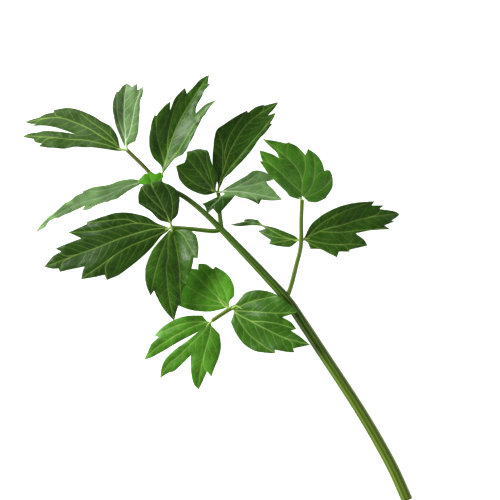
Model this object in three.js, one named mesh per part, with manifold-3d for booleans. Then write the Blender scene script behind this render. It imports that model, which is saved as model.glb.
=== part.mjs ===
// A cut compound leaf of lovage, lying on a flat surface. Millimetres, +Z up.
// The leaf stalk runs along +Y from its cut end, and carries two three-part side branches (A and B),
// a pair of side leaflets with a young one (C), and a pair of end leaflets (T).
import * as THREE from 'three';
import { mergeVertices } from 'three/addons/utils/BufferGeometryUtils.js';
import { TessellateModifier } from 'three/addons/modifiers/TessellateModifier.js';
import Module from 'manifold-3d';

const wasm = await Module();
wasm.setup();

// ---- driving dimensions ----
const LEAF_STALK_LENGTH = 116;      // cut end to branching A
const AXIS_A_TO_B = 47;             // along +Y
const AXIS_B_TO_C = 36.3;
const AXIS_C_TO_T = 23.3;
const CUT_END_DIAMETER = 5.6;
const AXIS_DIAMETER_AT_A = 4.8;
const AXIS_DIAMETER_AT_B = 3.1;
const AXIS_DIAMETER_AT_C = 2.2;
const AXIS_DIAMETER_AT_T = 1.9;
const BRANCHING_STEP = 0.5;         // how much the stem narrows at a branching point
const BRANCHING_SPAN = 8;           // length of stem over which it does
const SIDE_STALK_DIAMETER = 2.2;
const SIDE_STALK_TAPER = 0.16;      // share of the diameter lost from end to end
const STALK_A_RIGHT_REACH = 49.9;   // straight from the branching point to the far end
const STALK_A_LEFT_REACH = 38.3;
const STALK_B_LEFT_REACH = 24.5;
const STALK_B_RIGHT_REACH = 18.6;
const LEAFLET_STALK_DIAMETER = 1.2;
const LEAFLET_STALK_TAPER = 0.4;
const LEAFLET_STALK_INSET = 3;      // how far a leaflet's stalk runs into its blade
const LEAFLET_STALK_LIFT = 0.4;     // it leaves the upper side of the stalk that carries it
const BLADE_THICKNESS = 0.5;
const BLADE_SIZE = 1;               // scale of every leaflet blade about its base
const JOINT_GAP = 0.3;              // clearance where one piece grows out of another
const SURFACE_Z = 0;                // what the leaf lies on
const LEAF_ROUGHNESS = 0.45;

// ---- mesh detail ----
const STEM_SIDES = 10;
const STEM_STEP = 7;                // length of one ring of a stem
const BLADE_EDGE = 7;               // longest edge left in a blade's mesh
const BLADE_SPLITS = 7;             // rounds of splitting edges
const MERGE_TOLERANCE = 1e-4;

// ---- branching points: the stem leans and rises a little from its cut end ----
const BRANCH_A = new THREE.Vector3(18.4, LEAF_STALK_LENGTH, 9.2);
const BRANCH_B = BRANCH_A.clone().add(new THREE.Vector3(-2.6, AXIS_A_TO_B, 5));
const BRANCH_C = BRANCH_B.clone().add(new THREE.Vector3(-8.7, AXIS_B_TO_C, 4.5));
const BRANCH_T = BRANCH_C.clone().add(new THREE.Vector3(-1.7, AXIS_C_TO_T, 2.5));

// A point between two branching points: `share` of the way, moved sideways and up from the straight line.
function between(start, end, share, side, up) {
  return start.clone().lerp(end, share).add(new THREE.Vector3(side, 0, up));
}

const CUT_END = new THREE.Vector3(0, 0, CUT_END_DIAMETER / 2);
const AXIS_PATH = [
  CUT_END,
  between(CUT_END, BRANCH_A, 0.14, 2.0, -0.85),
  between(CUT_END, BRANCH_A, 0.28, 2.8, -1.6),
  between(CUT_END, BRANCH_A, 0.42, 2.9, -1.9),
  between(CUT_END, BRANCH_A, 0.56, 2.4, -1.9),
  between(CUT_END, BRANCH_A, 0.70, 1.7, -1.6),
  between(CUT_END, BRANCH_A, 0.85, 1.0, -0.9),
  BRANCH_A,
  between(BRANCH_A, BRANCH_B, 0.25, 0.3, -0.1),
  between(BRANCH_A, BRANCH_B, 0.62, 0.3, 0),
  BRANCH_B,
  between(BRANCH_B, BRANCH_C, 0.33, 1.7, -0.2),
  between(BRANCH_B, BRANCH_C, 0.66, 2.1, 0),
  BRANCH_C,
  between(BRANCH_C, BRANCH_T, 0.45, 0.3, 0),
  BRANCH_T,
];

// Side stalks: points from the branching point they leave, scaled so that the last lies `reach` from it.
function sideStalk(start, reach, points) {
  const offsets = points.map(([x, y, z]) => new THREE.Vector3(x, y, z));
  const scale = reach / offsets.at(-1).length();
  return offsets.map((offset) => start.clone().addScaledVector(offset, scale));
}

const STALK_A_RIGHT = sideStalk(BRANCH_A, STALK_A_RIGHT_REACH, [[0.5, 0, 0], [6, 3.3, 0.5],
  [14.6, 9.5, 1.9], [20.8, 14, 3], [24.4, 17.5, 3.8], [30.7, 25, 5.2], [37.4, 32.4, 6.3]]);
const STALK_A_LEFT = sideStalk(BRANCH_A, STALK_A_LEFT_REACH, [[-0.5, 0, -0.4], [-11.4, 6.4, -0.6],
  [-19.7, 12, -0.2], [-24.2, 13.7, 0.2], [-29.9, 14.5, 0.1], [-35.2, 15.1, 0]]);
const STALK_B_LEFT = sideStalk(BRANCH_B, STALK_B_LEFT_REACH, [[-0.4, 0.1, 0], [-2.6, 1, 0.2],
  [-10.8, 9.1, 1], [-18.1, 16.4, 1.6]]);
const STALK_B_RIGHT = sideStalk(BRANCH_B, STALK_B_RIGHT_REACH, [[0.4, 0.2, 0], [4.3, 6.3, 0.7],
  [8.7, 12, 1.9], [10.6, 14.9, 3.4]]);
const MID_A_RIGHT = STALK_A_RIGHT[4];
const END_A_RIGHT = STALK_A_RIGHT[6];
const MID_A_LEFT = STALK_A_LEFT[3];
const END_A_LEFT = STALK_A_LEFT[5];
const END_B_LEFT = STALK_B_LEFT[3];
const END_B_RIGHT = STALK_B_RIGHT[3];

// ---- colours ----
const LEAF_GREEN = 0x2c5a1e;
const BRIGHT_GREEN = 0x3f7a26;
const LIGHT_GREEN = 0x5f8f4f;
const YOUNG_GREEN = 0x4a9a0a;
const STALK_GREEN = 0x5f8c28;

// ---- leaflets ----
// A blade is drawn flat, in millimetres from its base: a along its middle vein, c across it (left is +).
// It is then bent along straight lines: what lies left of a line turns up by `turn` degrees over `over` mm.
const across = (a, turn, over) => ({ from: [a, 1], to: [a, -1], turn, over });
const keel = (turn, over) => ({ from: [0, 0], to: [1, 0], turn, over });
const crease = (from, to, turn, over) => ({ from, to, turn, over });

const LEAFLETS = [
  {
    name: 'leaflet_t_left', at: BRANCH_T, shift: [-1, 0.2, 0.4], heading: 124, pitch: -6, roll: -9,
    bends: [across(8, -32, 44), keel(18, 3)], color: LEAF_GREEN,
    outline: [[3, -1], [5.7, -6], [9.8, -9.6], [15, -10.9], [20, -12.3], [25, -13], [30, -13], [35, -12.2],
      [41.8, -9], [41.5, -8], [45.3, -6.2], [50, -2.9], [54, -0.8], [58, 2], [54, 1.6], [51, 0.7],
      [53.4, 2.4], [45, 0], [38.5, -1], [31.3, -1], [27.2, -0.8], [34.6, 0.1], [42, 1.9], [49, 4.8],
      [55.6, 8.9], [52.8, 9], [48, 8.2], [46.2, 9.6], [42, 9], [43.1, 11], [38, 9.8], [30, 7.5], [25, 5],
      [15, 2.6], [3, 0.8]],
  },
  {
    name: 'leaflet_t_up', at: BRANCH_T, shift: [-0.4, 0.4, 0.8], heading: 49, pitch: 22, roll: -28,
    bends: [across(10, -14, 30), keel(44, 3)], color: LIGHT_GREEN,
    outline: [[3, -1.5], [5.5, -5.3], [9, -6.4], [12.4, -7], [16, -7.5], [22, -7.7], [27, -7.5], [29.3, -8.2],
      [34.1, -8.5], [31.7, -5.5], [34.9, -4.9], [32.7, -2.6], [33.4, -1.1], [33.8, 1], [32.2, 3.1],
      [29.6, 4.8], [29.4, 5.8], [26, 6.9], [21.3, 7.1], [17, 6.2], [12.2, 4.9], [7.2, 3], [3, 1.2]],
  },
  {
    name: 'leaflet_c_left', at: BRANCH_C, shift: [-6.9, 7.2, -0.1], heading: 163.5, pitch: -6, roll: -38,
    bends: [across(10, -12, 40)], color: LIGHT_GREEN,
    outline: [[0, -1.2], [2.2, -3.2], [5.2, -4.6], [8.8, -5.5], [15.6, -6.5], [19.2, -8], [22.4, -8.8],
      [27.7, -9], [27.4, -8.1], [30.9, -7.6], [36.6, -5.4], [43.4, -2.9], [49.2, -0.4], [54.8, 2.8],
      [60.8, 7.9], [54, 5.2], [51, 2.8], [46.5, 1.4], [45.2, 2.3], [40.3, 2.1], [34.5, 1.7], [30.3, 0.9],
      [33, 3.1], [29.3, 3.6], [25.8, 2.6], [19.8, 2.4], [19.5, 3.3], [13.1, 3.6], [10.1, 3.3], [6.1, 2.2],
      [0, 1.2]],
  },
  {
    name: 'leaflet_c_up', at: BRANCH_C, shift: [3.3, 2.6, 1.7], heading: 27, pitch: 14, roll: -34,
    bends: [across(12, -16, 34), keel(62, 7)], color: LEAF_GREEN,
    outline: [[4, -0.8], [8.7, -2], [11.3, -3.3], [13.2, -5], [14.6, -6.3], [17.2, -7.3], [23.5, -7.8],
      [28.8, -7.8], [34.8, -7.3], [37.2, -8.3], [40.5, -8.5], [47, -10.5], [42.8, -6.2], [40.2, -4.5],
      [35.6, -2.6], [38.2, -1.4], [43, -1.2], [48.7, -1.2], [51.7, -1.4], [51.3, 0.2], [55.3, 2],
      [52.4, 4], [50, 5], [47.2, 5.8], [44.5, 6.3], [41.8, 6.8], [43.7, 9.3], [40, 10.6], [37.6, 11.2],
      [34.5, 11], [31, 10.3], [34.8, 12.3], [31.7, 14], [28.6, 15.1], [26, 15.4], [26.5, 16.5],
      [22.2, 16], [17.2, 14.5], [12.3, 12.3], [8.9, 10], [6.4, 7.3], [4, 2.2]],
  },
  {
    name: 'leaflet_c_young', at: BRANCH_C, shift: [-4, -0.4, 2.2], heading: 60, pitch: 0, roll: 0,
    bends: [], color: YOUNG_GREEN,
    outline: [[0, -0.8], [2, -2.5], [5, -5], [6.5, -5.8], [8.3, -4.2], [7.6, -1.8], [9.6, 0.4], [8.6, 1.6],
      [8.8, 3.4], [6.5, 6.6], [4.5, 7.2], [3, 4.5], [0, 0.8]],
  },
  {
    name: 'leaflet_b_left_up', at: END_B_LEFT, shift: [0.7, 0.4, 0.6], heading: 74.5, pitch: 26, roll: 0,
    bends: [crease([23.7, 6], [20.6, -8], -175, 6)], color: LEAF_GREEN,
    outline: [[2.5, -1], [4, -4.6], [8, -7.2], [11.1, -8.8], [15.2, -9.6], [18.6, -9], [21.2, -7.3],
      [23.2, -5.4], [26, -5], [30, -4], [29, -2], [32, 0.5], [29.5, 2], [30, 5], [27.6, 5.6], [25.4, 6.6],
      [22.6, 8.8], [18.8, 10.4], [15.8, 8.8], [11.3, 6.4], [5.8, 4.6], [2.5, 1.2]],
  },
  {
    name: 'leaflet_b_left_left', at: END_B_LEFT, shift: [-0.5, 0, 0.2], heading: 156.6, pitch: -4, roll: -8,
    bends: [across(10, -18, 54)], color: LEAF_GREEN,
    outline: [[1.6, -1], [6, -4.5], [10, -9], [15, -12], [20, -14.2], [25, -15.2], [30, -15.2], [39.8, -14.6],
      [39.8, -13.6], [50.5, -12], [48.5, -10.5], [45, -7.5], [55, -6.6], [59.7, -5.8], [57, -3.8],
      [62, -2.5], [66.3, 0.3], [68.5, 1.7], [64.7, 3.4], [60.7, 4.2], [60.7, 6], [54.5, 6.2], [47.5, 6.5],
      [49.7, 9.5], [51.5, 12.3], [48, 12.8], [39, 13.4], [38.8, 16.2], [32.8, 15.5], [25.2, 12.8],
      [18, 9.8], [11.2, 6.2], [5.8, 2.5], [1.6, 0.9]],
  },
  {
    name: 'leaflet_b_left_down', at: END_B_LEFT, shift: [-0.1, -0.2, 0.5], heading: -129, pitch: 8, roll: -14,
    bends: [across(8, -16, 40), crease([2, 1], [32, 5.5], 36, 3)], color: LEAF_GREEN,
    outline: [[1.2, -1.2], [4.5, -4.3], [7.8, -7.3], [11.3, -10], [17.8, -12.8], [21.8, -13.5], [28.9, -12.9],
      [34, -10.7], [31.3, -8.8], [34.5, -7.4], [41.4, -3.1], [46, 1.4], [41.8, 2.5], [38, 3.6], [39.5, 5.5],
      [32.2, 5], [29.6, 5.8], [27.9, 7.8], [23, 8.4], [18.1, 10.6], [15, 11.2], [15.1, 13.3], [9.3, 13.8],
      [4, 12.6], [1.6, 9.6], [0.6, 5], [0.8, 1.6]],
  },
  {
    name: 'leaflet_b_right_round', at: END_B_RIGHT, shift: [-0.8, 0, 1.3], heading: 104, pitch: 22, roll: 0,
    bends: [crease([26.5, -3.5], [13.5, -14], -130, 5)], color: LEAF_GREEN,
    outline: [[2.5, -2.5], [5, -7.1], [8.5, -9], [11.1, -10.5], [14.4, -12.8], [17, -15], [21, -18],
      [21.5, -16], [24.5, -15.5], [24.8, -13], [27, -11.5], [25.5, -8.5], [24.2, -5.7], [23.4, -2.8], [26, 1],
      [24.2, 2.5], [20.5, 5.2], [15.7, 6.5], [10.2, 6], [5.1, 4.4], [2.5, 2.4]],
  },
  {
    name: 'leaflet_b_right_large', at: END_B_RIGHT, shift: [0.1, 0, 1.2], heading: 18.5, pitch: 2, roll: -10,
    bends: [across(10, -18, 44), keel(20, 4)], color: LEAF_GREEN,
    outline: [[4, 0.5], [6.8, 0.9], [11.5, -0.4], [18.3, -1.9], [25.4, -3.1], [32.1, -3.4], [38.8, -4.4],
      [42.7, -4.6], [42.6, -3.5], [46.8, -3.5], [48.3, -2.7], [45.5, -0.3], [50.4, -1.1], [54, -1.1],
      [50.6, 2.5], [48.9, 3.8], [48.9, 4.5], [45.7, 6.9], [41, 8.6], [41.8, 9.5], [36.4, 12.5],
      [29.8, 15.4], [25.3, 17.1], [21.9, 16.2], [16.6, 13.5], [13.8, 12], [10.7, 10], [8, 7.4], [4, 3]],
  },
  {
    name: 'leaflet_b_right_lower', at: END_B_RIGHT, shift: [0.9, -0.3, 0.6], heading: -47.5, pitch: -8,
    roll: -30, bends: [crease([9, -1.2], [-8, -2], -42, 3)], color: LIGHT_GREEN,
    outline: [[2.5, -1.2], [-2, -3.6], [-7, -7], [-8.5, -7.5], [-6.8, -8.4], [-4.5, -12], [-2.3, -9.2],
      [0.2, -11.4], [1.5, -11], [3.7, -7.5], [6, -3.9], [7.8, -1.2], [10.2, -1.9], [15.1, -2.4],
      [20, -3.9], [20.9, -1.5], [28.8, -0.8], [31.4, 0.2], [27.6, 4.7], [24.1, 8.5], [23, 9.6],
      [26.4, 11.1], [24.2, 13.3], [20.1, 15], [16.1, 14.3], [12.3, 11], [7, 6.3], [2.5, 2.2]],
  },
  {
    name: 'leaflet_a_right_end', at: END_A_RIGHT, shift: [0, 0, 0], heading: 73.7, pitch: 36, roll: 0,
    bends: [across(6, -16, 30)], color: BRIGHT_GREEN,
    outline: [[2, -1], [-2.5, -2.5], [-5, -6.2], [-4.9, -11.1], [-0.6, -16.2], [3.3, -17.8], [6.9, -18.5],
      [9.5, -18.4], [10.7, -17], [10.7, -15.8], [16.7, -16.2], [22, -14.5], [25.5, -12.5], [22.9, -10.1],
      [28.4, -8.2], [32.9, -4.9], [32.8, -3.7], [36.3, 0.9], [40, 6.1], [35, 4.3], [30.6, 2.5], [27.4, 2.4],
      [31.3, 5.2], [35.1, 9.7], [31.9, 10.3], [29, 10.4], [30.5, 11.8], [26.3, 11.1], [20.7, 10],
      [14.5, 7.8], [8.4, 5.7], [5, 4.8], [2, 2.2]],
  },
  {
    name: 'leaflet_a_right_left', at: MID_A_RIGHT, shift: [-0.1, 0.3, 0], heading: 126.9, pitch: -12, roll: 0,
    bends: [], color: LEAF_GREEN,
    outline: [[3, -1], [8, -2], [13.6, -2.8], [20.7, -3.1], [23.2, -4.7], [27.7, -4.3], [30.3, -3.4],
      [29.9, -2.5], [37.2, 0.8], [32, 0.5], [26.4, -1.2], [21, -2.1], [18.2, -1.4], [22, 0.6],
      [19.4, 1.8], [14.5, 3.6], [14.9, 5.7], [10, 5.7], [4.2, 4.7], [3, 3.5]],
  },
  {
    name: 'leaflet_a_right_right', at: MID_A_RIGHT, shift: [0.1, -0.1, 0], heading: -25.1, pitch: -6,
    roll: -8, bends: [across(8, -20, 44), keel(16, 4)], color: LEAF_GREEN,
    outline: [[2.5, -2], [3, -5.5], [7.8, -7], [11.3, -10], [14.7, -13.1], [16.4, -10.5], [21.7, -11.9],
      [21.7, -11], [28.2, -11], [31.5, -11], [30.6, -7.7], [27.4, -3.6], [35.9, -4], [45.3, -5.6],
      [42.8, -3.2], [49.2, -2.2], [47.4, -1.6], [51.3, -0.1], [53, 1], [49.9, 3], [42.6, 5.6],
      [45.4, 6.9], [39.1, 8.1], [40.9, 9.9], [33.7, 11], [27.1, 11.6], [19.5, 11.1], [12.4, 9.1],
      [6.9, 6.4], [4, 3.6], [2.5, 1.6]],
  },
  {
    name: 'leaflet_a_left_up', at: MID_A_LEFT, shift: [0.2, 0.7, 0.1], heading: 89.8, pitch: -2, roll: 0,
    bends: [keel(10, 4)], color: BRIGHT_GREEN,
    outline: [[2.5, -1.5], [3.1, -5.1], [6.6, -7.8], [10.8, -9.2], [15, -9.1], [20.4, -7.3], [20.1, -5.6],
      [24.3, -4.4], [26.9, -1.7], [24.8, 0.3], [28, 3.2], [29.5, 4.7], [26.5, 7.5], [27, 10], [24, 14.5],
      [22, 14.5], [19.5, 21], [16.2, 19], [12.9, 17.3], [8.7, 13.8], [4.7, 9.1], [2.5, 5]],
  },
  {
    name: 'leaflet_a_left_right', at: MID_A_LEFT, shift: [0.2, -0.1, 0.4], heading: -65.1, pitch: 14, roll: 6,
    bends: [across(8, -12, 38)], color: BRIGHT_GREEN,
    outline: [[2, -1.5], [2.5, -6.2], [6.8, -10], [12.6, -13.4], [19.1, -14.3], [27.6, -11.8], [29.4, -10.8],
      [28.5, -9.4], [36, -7.4], [37.9, -6.4], [36.5, -5.1], [43.5, 0], [36.6, 1.8], [31.8, 2.5], [34.1, 4.4],
      [30.6, 6.4], [25.4, 6.9], [31.5, 12.5], [25.3, 14.5], [18.9, 15.8], [13.2, 15.5], [7.9, 13.7],
      [3.4, 10.1], [2, 6]],
  },
  {
    name: 'leaflet_a_left_end', at: END_A_LEFT, shift: [0, 0, 0.1], heading: -176.6, pitch: -4, roll: 0,
    bends: [across(8, -18, 36)], color: BRIGHT_GREEN,
    outline: [[2, -1.5], [1.8, -5.4], [6.5, -9.7], [11.6, -12.7], [19, -14.6], [26.3, -14.5], [25.1, -12.4],
      [30.3, -12.4], [35, -10.5], [39, -9.2], [35.2, -7.5], [28.8, -5.8], [18.8, -3.6], [8.8, -0.8],
      [16.3, -1.3], [24.1, -2.3], [32.1, -1.7], [39.8, 3], [33.8, 4.2], [32, 5.2], [26.8, 5.4],
      [19.8, 5.2], [22, 7.5], [25.8, 11.8], [29, 17.2], [29.3, 20.4], [25, 18.9], [19.5, 16.7],
      [19.7, 20], [15.2, 17.8], [10.1, 15.5], [5.7, 12.4], [1.9, 7.4], [2, 1.5]],
  },
];

// ---- shape helpers ----
function closedMesh(geometry) {
  geometry.deleteAttribute('normal');
  geometry.deleteAttribute('uv');
  return mergeVertices(geometry, MERGE_TOLERANCE);
}

function toSolid(geometry) {
  const merged = closedMesh(geometry);
  const mesh = new wasm.Mesh({
    numProp: 3,
    vertProperties: new Float32Array(merged.attributes.position.array),
    triVerts: new Uint32Array(merged.index.array),
  });
  return new wasm.Manifold(mesh);
}

function toGeometry(solid) {
  const mesh = solid.getMesh();
  const geometry = new THREE.BufferGeometry();
  geometry.setAttribute('position', new THREE.BufferAttribute(mesh.vertProperties, 3));
  geometry.setIndex(new THREE.BufferAttribute(mesh.triVerts, 1));
  return geometry;
}

// What is left of a piece after its neighbours are cut away, without loose slivers.
function largestBody(solid) {
  const bodies = solid.decompose();
  return bodies.reduce((best, body) => (body.volume() > best.volume() ? body : best));
}

// A tapering stem: a cylinder whose rings are carried along a smooth curve. `grow` makes it larger all round.
function stem(points, radiusAt, grow = 0) {
  const curve = new THREE.CatmullRomCurve3(points, false, 'centripetal');
  const length = curve.getLength();
  const rings = Math.max(3, Math.round(length / STEM_STEP));
  const geometry = new THREE.CylinderGeometry(1, 1, 1, STEM_SIDES, rings);
  geometry.deleteAttribute('normal');
  geometry.deleteAttribute('uv');
  const up = new THREE.Vector3(0, 0, 1);
  const position = geometry.attributes.position;
  for (let i = 0; i < position.count; i += 1) {
    const share = THREE.MathUtils.clamp(position.getY(i) + 0.5, 0, 1);
    const centre = curve.getPointAt(share);
    const along = curve.getTangentAt(share);
    const side = new THREE.Vector3().crossVectors(along, up).normalize();
    const top = new THREE.Vector3().crossVectors(side, along);
    const radius = radiusAt(share) + grow;
    centre.addScaledVector(along, grow * (2 * share - 1));
    centre.addScaledVector(side, position.getX(i) * radius);
    centre.addScaledVector(top, position.getZ(i) * radius);
    position.setXYZ(i, centre.x, centre.y, centre.z);
  }
  return toSolid(geometry);
}

// Turn a point about one bend line of the flat blade.
function bendPoint(point, flat, bend) {
  const along = new THREE.Vector2(bend.to[0] - bend.from[0], bend.to[1] - bend.from[1]).normalize();
  const out = new THREE.Vector2(-along.y, along.x);
  const start = new THREE.Vector2(bend.from[0], bend.from[1]).multiplyScalar(BLADE_SIZE);
  const over = bend.over * BLADE_SIZE;
  const reach = flat.clone().sub(start).dot(out);
  if (reach <= 0) return point;
  const bent = Math.min(reach, over);
  const full = THREE.MathUtils.degToRad(bend.turn);
  const angle = full * bent / over;
  const radius = over / full;
  const rest = new THREE.Vector2(point.x, point.y).sub(start);
  const outward = rest.dot(out) - bent;
  const sideways = rest.dot(along);
  const outTurned = radius * Math.sin(angle) + outward * Math.cos(angle) - point.z * Math.sin(angle);
  const lifted = radius * (1 - Math.cos(angle)) + outward * Math.sin(angle) + point.z * Math.cos(angle);
  const place = start.addScaledVector(out, outTurned).addScaledVector(along, sideways);
  return new THREE.Vector3(place.x, place.y, lifted);
}

function bladeBase(leaflet) {
  return leaflet.at.clone().add(new THREE.Vector3(...leaflet.shift));
}

// The blade's own axes: x along its middle vein, y to its left, z off its upper face.
function bladeAxes(leaflet) {
  const heading = THREE.MathUtils.degToRad(leaflet.heading);
  const pitch = THREE.MathUtils.degToRad(leaflet.pitch);
  const roll = THREE.MathUtils.degToRad(leaflet.roll);
  const level = new THREE.Matrix4().makeRotationZ(heading);
  const tilted = level.multiply(new THREE.Matrix4().makeRotationY(-pitch));
  return tilted.multiply(new THREE.Matrix4().makeRotationX(roll));
}

function blade(leaflet) {
  const points = leaflet.outline.map(([a, c]) => new THREE.Vector2(a, c).multiplyScalar(BLADE_SIZE));
  const plate = new THREE.ExtrudeGeometry(new THREE.Shape(points), {
    depth: BLADE_THICKNESS,
    bevelEnabled: false,
  });
  plate.translate(0, 0, -BLADE_THICKNESS / 2);
  plate.deleteAttribute('normal');
  plate.deleteAttribute('uv');
  const fine = new TessellateModifier(BLADE_EDGE, BLADE_SPLITS).modify(plate);
  const place = bladeAxes(leaflet).setPosition(bladeBase(leaflet));
  const position = fine.attributes.position;
  for (let i = 0; i < position.count; i += 1) {
    const flat = new THREE.Vector2(position.getX(i), position.getY(i));
    let point = new THREE.Vector3().fromBufferAttribute(position, i);
    for (const bend of [...leaflet.bends].reverse()) point = bendPoint(point, flat, bend);
    point.applyMatrix4(place);
    position.setXYZ(i, point.x, point.y, point.z);
  }
  return toSolid(fine);
}

// The leaflet's own short stalk runs from the branching point into the foot of the blade.
function leafletStalk(leaflet, grow = 0) {
  const place = bladeAxes(leaflet).setPosition(bladeBase(leaflet));
  const [first, last] = [leaflet.outline[0], leaflet.outline.at(-1)];
  const foot = new THREE.Vector3((first[0] + last[0]) / 2, (first[1] + last[1]) / 2, 0);
  const inBlade = foot.clone().setX(foot.x + LEAFLET_STALK_INSET).applyMatrix4(place);
  const start = leaflet.at.clone().add(new THREE.Vector3(0, 0, LEAFLET_STALK_LIFT));
  const radiusAt = (share) => LEAFLET_STALK_DIAMETER / 2 * (1 - LEAFLET_STALK_TAPER * share);
  return stem([start, foot.applyMatrix4(place), inBlade], radiusAt, grow);
}

// ---- stems ----
// The main stem's diameter along its length: it tapers, and narrows at each branching point.
const TO_A = CUT_END.distanceTo(BRANCH_A);
const TO_B = TO_A + BRANCH_A.distanceTo(BRANCH_B);
const TO_C = TO_B + BRANCH_B.distanceTo(BRANCH_C);
const TO_T = TO_C + BRANCH_C.distanceTo(BRANCH_T);
const branching = (distance, diameter) => [
  { distance: distance - BRANCHING_SPAN / 2, diameter: diameter + BRANCHING_STEP / 2 },
  { distance: distance + BRANCHING_SPAN / 2, diameter: diameter - BRANCHING_STEP / 2 },
];
const AXIS_WIDTHS = [
  { distance: 0, diameter: CUT_END_DIAMETER },
  ...branching(TO_A, AXIS_DIAMETER_AT_A),
  ...branching(TO_B, AXIS_DIAMETER_AT_B),
  ...branching(TO_C, AXIS_DIAMETER_AT_C),
  { distance: TO_T, diameter: AXIS_DIAMETER_AT_T },
];

function axisRadius(share) {
  const distance = share * TO_T;
  const next = AXIS_WIDTHS.findIndex((width) => width.distance >= distance);
  if (next === 0) return CUT_END_DIAMETER / 2;
  const [before, after] = [AXIS_WIDTHS[next - 1], AXIS_WIDTHS[next]];
  const along = (distance - before.distance) / (after.distance - before.distance);
  return THREE.MathUtils.lerp(before.diameter, after.diameter, along) / 2;
}

const sideRadius = (share) => SIDE_STALK_DIAMETER / 2 * (1 + SIDE_STALK_TAPER * (0.5 - share));

const mainStem = stem(AXIS_PATH, axisRadius);
const mainStemRoom = stem(AXIS_PATH, axisRadius, JOINT_GAP);

const SIDE_STALKS = [
  { name: 'stalk_a_right', path: STALK_A_RIGHT },
  { name: 'stalk_a_left', path: STALK_A_LEFT },
  { name: 'stalk_b_left', path: STALK_B_LEFT },
  { name: 'stalk_b_right', path: STALK_B_RIGHT },
];

const pieces = [{ name: 'main_stem', solid: mainStem, color: STALK_GREEN }];
let stemRoom = mainStemRoom;
for (const { name, path } of SIDE_STALKS) {
  pieces.push({ name, solid: stem(path, sideRadius).subtract(mainStemRoom), color: STALK_GREEN });
  stemRoom = stemRoom.add(stem(path, sideRadius, JOINT_GAP));
}

let room = stemRoom;
for (const leaflet of LEAFLETS) {
  const solid = largestBody(blade(leaflet).add(leafletStalk(leaflet)).subtract(room));
  pieces.push({ name: leaflet.name, solid, color: leaflet.color });
  room = room.add(leafletStalk(leaflet, JOINT_GAP));
}

// ---- the leaf, set down with the middle of its footprint at the origin ----
const leaf = new THREE.Group();
for (const { name, solid, color } of pieces) {
  const material = new THREE.MeshStandardMaterial({ color, roughness: LEAF_ROUGHNESS, metalness: 0 });
  const mesh = new THREE.Mesh(toGeometry(solid), material);
  mesh.name = name;
  leaf.add(mesh);
}
const extent = new THREE.Box3().setFromObject(leaf);
const middle = extent.getCenter(new THREE.Vector3());
leaf.position.set(-middle.x, -middle.y, SURFACE_Z - extent.min.z);

export default leaf;
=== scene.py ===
"""The looks of a cut compound leaf of lovage: ribbed stalks and thin, veined, toothed leaflets.

Shapes are written in millimetres in the leaf's own frame: +Y along the leaf stalk from its cut end,
+X to its right, +Z up off the surface. placed() carries them into the CAD part's row frame, in metres.
"""
import math
from dataclasses import dataclass

import bpy
import numpy as np
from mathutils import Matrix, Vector, geometry, noise


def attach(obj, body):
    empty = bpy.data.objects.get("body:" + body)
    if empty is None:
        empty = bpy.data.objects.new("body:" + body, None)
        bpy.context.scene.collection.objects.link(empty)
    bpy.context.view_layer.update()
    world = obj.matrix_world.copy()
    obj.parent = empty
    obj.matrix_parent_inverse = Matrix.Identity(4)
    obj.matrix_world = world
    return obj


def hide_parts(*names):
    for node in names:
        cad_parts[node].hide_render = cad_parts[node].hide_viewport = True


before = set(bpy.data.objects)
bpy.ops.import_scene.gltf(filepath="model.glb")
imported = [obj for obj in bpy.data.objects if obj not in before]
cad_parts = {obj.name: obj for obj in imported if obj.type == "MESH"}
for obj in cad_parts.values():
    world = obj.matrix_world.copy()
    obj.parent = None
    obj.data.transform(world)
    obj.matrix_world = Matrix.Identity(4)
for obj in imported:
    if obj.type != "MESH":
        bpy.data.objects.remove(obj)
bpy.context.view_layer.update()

MM = 0.001
BODY = "root"

# ---- the stalks' sizes, as in the CAD part ----
LEAF_STALK_LENGTH = 116
AXIS_A_TO_B = 47
AXIS_B_TO_C = 36.3
AXIS_C_TO_T = 23.3
CUT_END_DIAMETER = 5.6
AXIS_DIAMETER_AT_A = 4.8
AXIS_DIAMETER_AT_B = 3.1
AXIS_DIAMETER_AT_C = 2.2
AXIS_DIAMETER_AT_T = 1.9
BRANCHING_STEP = 0.5
BRANCHING_SPAN = 8
SIDE_STALK_DIAMETER = 2.2
SIDE_STALK_TAPER = 0.16
LEAFLET_STALK_DIAMETER = 1.2
LEAFLET_STALK_LIFT = 0.4

# ---- a blade's mesh ----
GRID = 0.6  # spacing of the points inside a blade
EDGE_STEP = 0.5  # spacing along its outline
VEIN_STEP = 0.6  # spacing along its veins
ROW_OFFSET = 0.12  # a row of points runs this far beside a vein
VEIN_POINT_GAP = 0.16  # least distance between the veins' points
GRID_POINT_GAP = 0.36  # and from a grid point to any other
EDGE_CLEARANCE = 0.22  # and to the edge
CELL = 0.5  # squares in which neighbours are looked up
INSIDE_ONLY = 1  # the triangulation's output type
SAME_POINT = 1e-5
TOOTH_TURN = 36  # an outline that turns by more degrees than this has a corner there
FIRST_TOOTH = 6  # a tooth nearer to the base gets no vein
FOOT_START = 1.5  # an outline that starts further from the base gets a foot
FOOT_REACH = 0.7  # how far from the base the foot lies
BLADE_THICKNESS = 0.32
EDGE_THICKNESS = 0.14
EDGE_WIDTH = 1.2  # the blade thins to its edge over this width

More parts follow.
